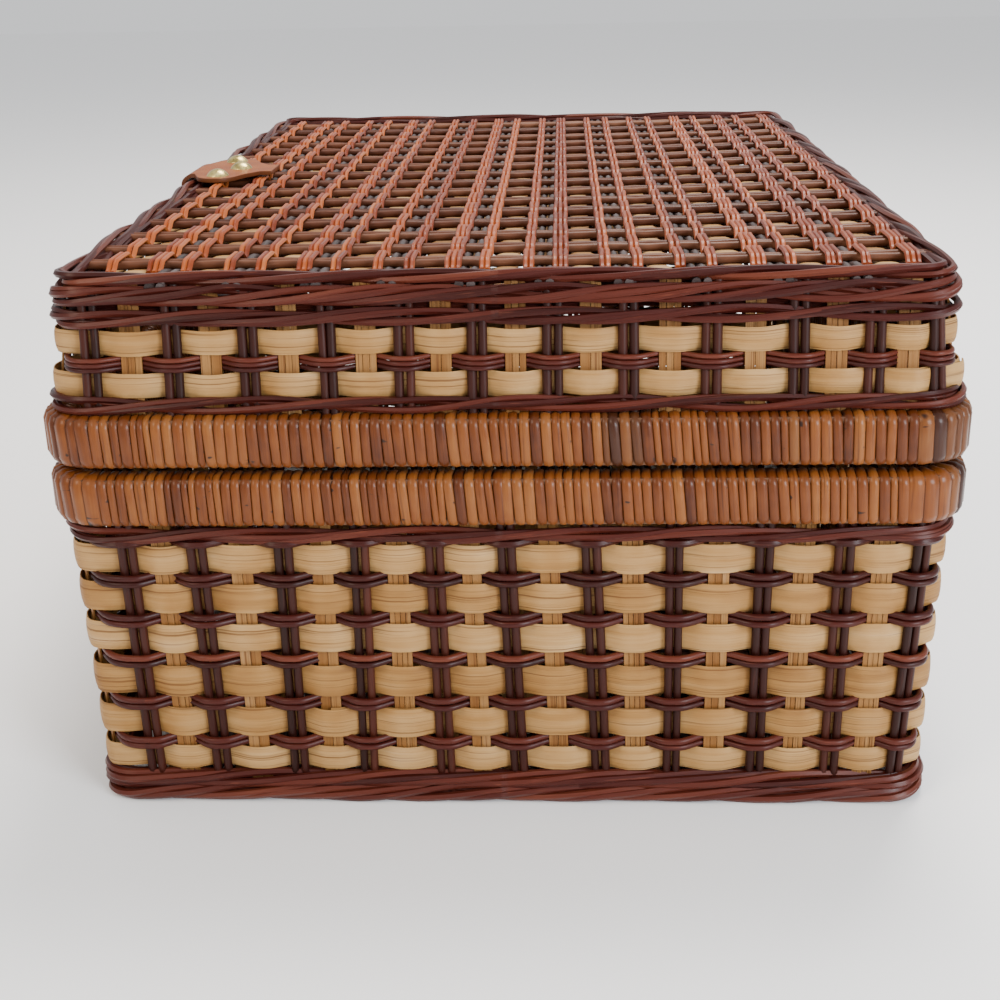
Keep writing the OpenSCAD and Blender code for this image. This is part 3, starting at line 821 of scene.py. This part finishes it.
def flat_rope(z, out, wide, high, count, turns, seed, share):
    """Rods twisted over each other flat on the edge of the top, out from the wall line."""
    runs = []
    for strand in twist(count, turns, seed, 560, (0.2 * MM, 0.6 * MM), 0.0):
        run = []
        for s, a, jog, size in strand:
            height = z + high * math.sin(a) + jog * 0.3
            run.append((*wall(s, out + wide * math.cos(a) + jog, height), size * share))
        runs.append(run)
    return runs


edge = lid_out(LID_TOP)
border_runs = flat_rope(LID_TOP - 2.6 * MM, edge + 0.4 * MM, 2.5 * MM, 1.6 * MM, 4, 13, "border outer", 0.9)
border_runs += flat_rope(LID_TOP - 5.2 * MM, edge - 3.2 * MM, 0.7 * MM, 1.9 * MM, 3, 11, "border inner", 0.9)
lid_border = strands("lid_border_twist", border_runs, 1.65 * MM, closed=True)
finish(lid_border, "lid", mahogany_rattan, "dark_weaver", "lid_border")

# ---- The woven top ----
# Brown rod pairs lie right across it and turn down at the edges. Pairs of dark rods run along under
# them, with pale chips that pass under the dark pairs and over pale splints. Orange-brown skeins run
# along on top, two to a column, and loop over every pair across. The middle of the top sags a little.

BROWN = [
    (0.0, (0.0341, 0.00775, 0.0031)),
    (0.4, (0.0837, 0.0248, 0.01054)),
    (0.75, (0.1333, 0.0496, 0.02356)),
    (1.0, (0.1922, 0.0868, 0.0496)),
]
ORANGE = [
    (0.0, (0.0792, 0.01008, 0.00216)),
    (0.35, (0.18, 0.03024, 0.00648)),
    (0.7, (0.288, 0.06336, 0.01368)),
    (1.0, (0.396, 0.1296, 0.036)),
]
# Painted sheen: the long rods are dark rattan, and their grey colours stand in for the grey glints on their
# tops.
GREY_SHEEN = [(0.0, (0.018, 0.0099, 0.009)), (0.5, (0.045, 0.0306, 0.0288)), (1.0, (0.108, 0.0855, 0.0828))]
brown_rattan = rattan("brown_rattan", BROWN, 0.45)
orange_skein = rattan("orange_skein", ORANGE, 0.36, coat=0.08)
grey_sheen_rattan = rattan("grey_sheen_rattan", GREY_SHEEN, 0.42, coat=0.12)

ROWS = [32 * (k - 7.5) + 4 for k in range(16)]
COLUMNS = [32 * (k - 5.5) + 2.5 for k in range(12)]
SKEIN_SIDE = 6.75
top_w, top_l = half_w + edge, half_l + edge


def panel(kind, z, up, w, l, sag, seed, reach):
    """A flat woven panel. up is 1 where its outer face is upwards; z is the outer face's height, and reach
    how far its rods run out past its sides."""
    dice = random.Random(seed)

    def level(x, y, depth):
        bulge = max(0, 1 - (x / w) ** 2) * max(0, 1 - (y / l) ** 2)
        return z - up * depth - sag * bulge

    cross, along, chips, skeins, slats = [], [], [], [], []
    row_y = [y * MM + dice.uniform(-1.2, 1.2) * MM for y in ROWS]
    column_x = [x * MM + dice.uniform(-0.6, 0.6) * MM for x in COLUMNS]
    for y in row_y:
        skew = dice.uniform(-1.0, 1.0) * MM
        for side in (-1, 1):
            size, tone, gap = dice.uniform(0.95, 1.06), dice.random(), dice.uniform(1.95, 2.3) * MM
            run = []
            for k in range(41):
                x = (k / 20 - 1) * (w + reach)
                bob = 0.25 * MM * math.sin(x * 190 + side)
                here = y + side * gap + skew * x / w
                run.append((x, here, level(x, y, 4.0 * MM) + bob, size, tone))
            cross.append(run)
    for x in column_x[1:-1]:
        for side in (-1, 1):
            size, tone = dice.uniform(0.95, 1.1), dice.random()
            gap = dice.uniform(2.1, 2.5) * MM
            run = []
            for k in range(129):
                y = (k / 64 - 1) * (l + reach)
                rise = 0.5 - 0.5 * math.cos(math.tau * (y - ROWS[0] * MM) / (32 * MM))
                inside = abs(y) < l - 10 * MM
                depth = (7.4 - 2.4 * rise) * MM if inside else 5.6 * MM
                run.append((x + side * gap, y, level(x, y, depth), size, tone))
            along.append(run)
    for k in range(len(row_y) + 1):
        if 0 < k < len(row_y):
            y = (row_y[k - 1] + row_y[k]) / 2
        else:
            y = row_y[0] - 15 * MM if k == 0 else row_y[-1] + 15 * MM
        keys = [(column_x[0], 1.0)]
        for x, after in zip(column_x, column_x[1:]):
            keys += [((x + after) / 2, 0.0), (after, 1.0)]
        run = []
        for m, ((x0, d0), (x1, d1)) in enumerate(zip(keys, keys[1:])):
            if m % 2 == 0:
                tone = dice.choice([dice.uniform(0.7, 1.1), dice.uniform(-0.5, 0.0)])
            for share in STEPS:
                x = x0 + (x1 - x0) * share
                low = d0 + (d1 - d0) * ease(share)
                wide = 1.04 - 0.42 * low
                depth = (5.6 + 4.2 * low) * MM
                run.append((x, y + 0.5 * MM * math.sin(x * 60 + k), level(x, y, depth), wide, tone))
        chips.append([p for p in run if abs(p[0]) < w - 3 * MM])
    for x, after in zip(column_x, column_x[1:]):
        for k in (-1, 0, 1):
            tone = dice.random()
            middle = (x + after) / 2 + k * 3.0 * MM
            ends = [(m / 24 - 1) * (l + reach / 2) for m in range(49)]
            slats.append([(middle, y, level(middle, y, 7.6 * MM), 1, tone) for y in ends])
    for n, x in enumerate(column_x):
        for side in (-1, 1):
            if (n == 0 and side < 0) or (n == len(column_x) - 1 and side > 0):
                continue
            count = dice.choice([2, 2, 2, 3])
            for k in range(count):
                size, tone = dice.uniform(0.95, 1.05), dice.random()
                shift = side * SKEIN_SIDE * MM + (k - (count - 1) / 2) * 2.3 * MM
                run = []
                keys = [(row_y[0] - 15 * MM, 1.0)]
                for m, y in enumerate(row_y):
                    after = row_y[m + 1] if m + 1 < len(row_y) else y + 30 * MM
                    keys += [(y, 0.0), ((y + after) / 2, 1.0)]
                for (y0, d0), (y1, d1) in zip(keys, keys[1:]):
                    stray = dice.uniform(-0.3, 0.3) * MM
                    for share in STEPS:
                        y = y0 + (y1 - y0) * share
                        away = share if d0 < d1 else 1 - share
                        fall = min(1, max(0, (away - 0.5) / 0.45))
                        depth = 1.0 * MM + fall * fall * (3 - 2 * fall) * 3.6 * MM
                        side_step = shift + stray * math.sin(math.pi * share)
                        run.append((x + side_step, y, level(x, y, depth), size, tone))
                skeins.append([p for p in run if abs(p[1]) < l - 4 * MM])
    angles = [math.tau * k / 6 for k in range(6)]
    oval = [(1.16 * MM * math.cos(a), 0.98 * MM * math.sin(a)) for a in angles]
    flat = [(y, x) for x, y in chip_outline(17.5 * MM)]
    strip = [(a * 1.4 * MM, b * 0.4 * MM) for a, b in ((-1, -1), (1, -1), (1, 1), (-1, 1))]
    made = {
        "cross_rods": strands(kind + "_cross_rods", cross, 1.95 * MM, sides=4),
        "long_rods": strands(kind + "_long_rods", along, 1.85 * MM, sides=4),
        "chips": strands(kind + "_chips", chips, flat),
        "splints": strands(kind + "_splints", slats, strip),
        "skeins": strands(kind + "_skeins", skeins, oval),
    }
    return made


top = panel("lid_top", LID_TOP, 1, top_w, top_l, 2.5 * MM, "lid top", 3.4 * MM)
finish(top["cross_rods"], "lid", brown_rattan, "brown_rod", "top_cross_rods")
finish(top["long_rods"], "lid", grey_sheen_rattan, "dark_stake", "top_long_rods")
finish(top["chips"], "lid", pale_wood, "pale_chip", "top_chips")
finish(top["splints"], "lid", splint_wood_painted_shade, "pale_chip", "top_splints")
finish(top["skeins"], "lid", orange_skein, "skein", "top_skeins")

# ---- The woven base ----
# The same weave turned face down inside the foot border, a little above the floor.

base = panel("base", 1.2 * MM, -1, half_w - 11 * MM, half_l - 11 * MM, 0, "base", 2 * MM)
finish(base["cross_rods"], "body", brown_rattan, "brown_rod", "base_cross_rods")
finish(base["long_rods"], "body", grey_sheen_rattan, "dark_stake", "base_long_rods")
finish(base["chips"], "body", pale_wood, "pale_chip", "base_chips")
finish(base["splints"], "body", splint_wood_painted_shade, "pale_chip", "base_splints")
finish(base["skeins"], "body", orange_skein, "skein", "base_skeins")

# ---- Leather strap, hinge strips and clasp patch ----
# Oak-tanned strap leather a little over two millimetres thick, dyed on the grain side, with dark cut
# edges. The strap is cut in one piece with its lobed tab; the hinge strips are tucked round both rims.


def leather_paint():
    paint = Paint("strap_leather", Coat_Weight=0.08, Coat_Roughness=0.35)
    place = paint.node("ShaderNodeTexCoord", {}, {}, 3)
    rim = paint.attribute("rim", 2)
    pores = paint.noise(place, (1500, 1500, 1500), 3)
    cloud = paint.noise(place, (60, 60, 60), 3)
    shades = [(0.2, (0.13, 0.02925, 0.0052)), (0.55, (0.221, 0.0572, 0.0091))]
    shades.append((0.85, (0.2925, 0.09425, 0.0195)))
    colour = paint.ramp(cloud * 0.8 + pores * 0.25, shades)
    colour = paint.mix(paint.between(rim, 0.35, 1.0) * 0.75, colour, (0.055, 0.016, 0.006, 1))
    return paint.feed(
        Base_Color=colour,
        Roughness=paint.between(pores, 0.3, 0.7, 0.42, 0.62),
        Normal=paint.bump(pores * 0.5 + cloud * 0.5, 0.3 * MM, 0.5),
    )


leather = leather_paint()
LEATHER_T = 2.2 * MM


def leather_strip(name, path, middle, half_width, hole=None):
    """A strip along a path of (x, z) points, its width along y. half_width is a list of (distance, width)."""
    steps = []
    for (x0, z0), (x1, z1) in zip(path, path[1:]):
        count = max(1, round(math.hypot(x1 - x0, z1 - z0)))
        steps += [(x0 + (x1 - x0) * k / count, z0 + (z1 - z0) * k / count) for k in range(count)]
    steps.append(path[-1])
    for turn in range(3):
        trios = zip(steps, steps[1:], steps[2:])
        inner = [tuple((a + 2 * b + c) / 4 for a, b, c in zip(*trio)) for trio in trios]
        steps = [steps[0]] + inner + [steps[-1]]
    columns = 18
    shape = bmesh.new()
    bmesh.ops.create_grid(shape, x_segments=len(steps) - 1, y_segments=columns, size=1)
    rim = shape.verts.layers.float.new("rim")
    length = len(steps) - 1
    for v in shape.verts:
        k = round((v.co.x + 1) / 2 * length)
        wide = half_width[-1][1]
        for (u0, w0), (u1, w1) in zip(half_width, half_width[1:]):
            if u0 <= k <= u1 and u1 > u0:
                wide = w0 + (w1 - w0) * (k - u0) / (u1 - u0)
                break
        across = v.co.y
        end = min(k, length - k) / 1.5
        v[rim] = max(0, 1 - min((1 - abs(across)) * wide / 1.5, end))
        x, z = steps[k]
        v.co = (x * MM, (middle + across * wide) * MM, z * MM)
    if hole:
        y_half, z_low, z_high = hole
        cut = []
        for f in shape.faces:
            at = f.calc_center_median() / MM
            if abs(at.y - middle) < y_half and z_low < at.z < z_high:
                cut.append(f)
        bmesh.ops.delete(shape, geom=cut, context="FACES")
    bmesh.ops.recalc_face_normals(shape, faces=shape.faces)
    for face in shape.faces:
        face.smooth = True
    mesh = bpy.data.meshes.new(name)
    shape.to_mesh(mesh)
    shape.free()
    piece = bpy.data.objects.new(name, mesh)
    bpy.context.scene.collection.objects.link(piece)
    thick = piece.modifiers.new("thickness", "SOLIDIFY")
    thick.thickness = LEATHER_T
    thick.offset = 0
    soft = piece.modifiers.new("cut_edge", "BEVEL")
    soft.width = 0.4 * MM
    soft.segments = 2
    soft.angle_limit = math.radians(50)
    shown = piece.evaluated_get(bpy.context.evaluated_depsgraph_get())
    solid = bpy.data.meshes.new_from_object(shown)
    piece.modifiers.clear()
    piece.data = solid
    shape = bmesh.new()
    shape.from_mesh(solid)
    bmesh.ops.recalc_face_normals(shape, faces=shape.faces)
    shape.to_mesh(solid)
    shape.free()
    solid.materials.clear()
    solid.materials.append(leather)
    return piece


tab_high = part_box("strap_tab")[1].z / MM - LEATHER_T / MM / 2
flap_x = (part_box("strap_flap")[0].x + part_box("strap_flap")[1].x) / 2 / MM
flap_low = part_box("strap_flap")[0].z / MM
strap_path = [(-141, tab_high), (-187, tab_high), (-191.4, tab_high - 3), (-197.6, 200.7)]
strap_path += [(flap_x, 185), (flap_x, flap_low)]
lobes = [(0, 13), (7, 13), (9, 16), (13, 22)]
for degrees in range(-80, 81, 16):
    a = math.radians(degrees)
    lobes.append((28 + 12 * math.sin(a), 27 + 12 * math.cos(a)))
long = sum(math.dist(a, b) for a, b in zip(strap_path, strap_path[1:]))
lobes += [(43, 20), (46, 18), (long - 18, 18)]
for degrees in range(10, 86, 15):
    a = math.radians(degrees)
    lobes.append((long - 18 + 18 * math.sin(a), 18 * math.cos(a)))
strap = leather_strip("strap_leather_piece", strap_path, 0, lobes, (13, 104.6, 115.4))
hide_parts("strap_tab", "strap_flap")
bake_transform(strap, "lid", "strap", start=(flap_x * MM, 0, 0.183), end=(flap_x * MM, 0, 0.175))

for side, hinge_y in (("near", -160), ("far", 160)):
    hinge_path = [(181.55, 152), (181.55, 138.65), (199.05, 138.65)]
    hinge_path += [(199.05, 191.15), (181.55, 191.15), (181.55, 178)]
    strip = leather_strip(f"hinge_strip_{side}", hinge_path, hinge_y, [(0, 10), (200, 10)])
    if side == "near":
        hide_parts("hinge_leather_body", "hinge_leather_lid")
    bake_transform(strip, "body", "lid", start=(0.20015, 0, 0.1615), end=(0.20015, 0, 0.1683))

patch_low, patch_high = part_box("clasp_patch")
patch_shape = bmesh.new()
bmesh.ops.create_cube(patch_shape, size=1)
bmesh.ops.scale(patch_shape, vec=patch_high - patch_low, verts=patch_shape.verts)
bmesh.ops.translate(patch_shape, vec=(patch_low + patch_high) / 2, verts=patch_shape.verts)
round_off = {"profile": 0.5, "affect": "EDGES", "material": -1, "clamp_overlap": True}
corners = [e for e in patch_shape.edges if abs(e.verts[0].co.x - e.verts[1].co.x) > 0.5 * MM]
bmesh.ops.bevel(patch_shape, geom=corners, offset=5 * MM, segments=6, **round_off)
front = [e for e in patch_shape.edges if all(v.co.x < patch_low.x + 0.1 * MM for v in e.verts)]
bmesh.ops.bevel(patch_shape, geom=front, offset=0.4 * MM, segments=2, **round_off)
bmesh.ops.recalc_face_normals(patch_shape, faces=patch_shape.faces)
patch_mesh = bpy.data.meshes.new("clasp_patch_leather")
patch_shape.to_mesh(patch_mesh)
patch_shape.free()
patch_mesh.attributes.new("rim", "FLOAT", "POINT")
patch = bpy.data.objects.new("clasp_patch_leather", patch_mesh)
bpy.context.scene.collection.objects.link(patch)
finish(patch, "body", leather, "leather", "clasp_patch")

# ---- Brass studs, eyelet and turn knob ----
# Pressed and lacquered brass fittings: domed stud heads, the eyelet round the strap's slot, the clasp's
# plate and rivets, and the bar that turns. They are the frame's own solids with a worn brass surface.

brass = Paint("worn_brass", Metallic=1.0, Coat_Weight=0.2, Coat_Roughness=0.2)
brass_place = brass.node("ShaderNodeTexCoord", {}, {}, 3)
tarnish = brass.noise(brass_place, (240, 240, 240), 4)
scratches = brass.noise(brass_place, (2400, 500, 900), 2)
gold = [(0.3, (0.33, 0.24, 0.07)), (0.6, (0.62, 0.50, 0.19)), (0.8, (0.75, 0.66, 0.33))]
brass.feed(
    Base_Color=brass.ramp(tarnish, gold),
    Roughness=brass.between(tarnish, 0.3, 0.7, 0.22, 0.44),
    Normal=brass.bump(scratches, 0.1 * MM, 0.3),
)
studs = ("tab_studs", "hinge_studs_body", "hinge_studs_lid")
for node in (*studs, "clasp_plate", "clasp_rivets", "strap_eyelet", "turn_knob"):
    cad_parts[node].data.materials.clear()
    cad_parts[node].data.materials.append(brass.material)
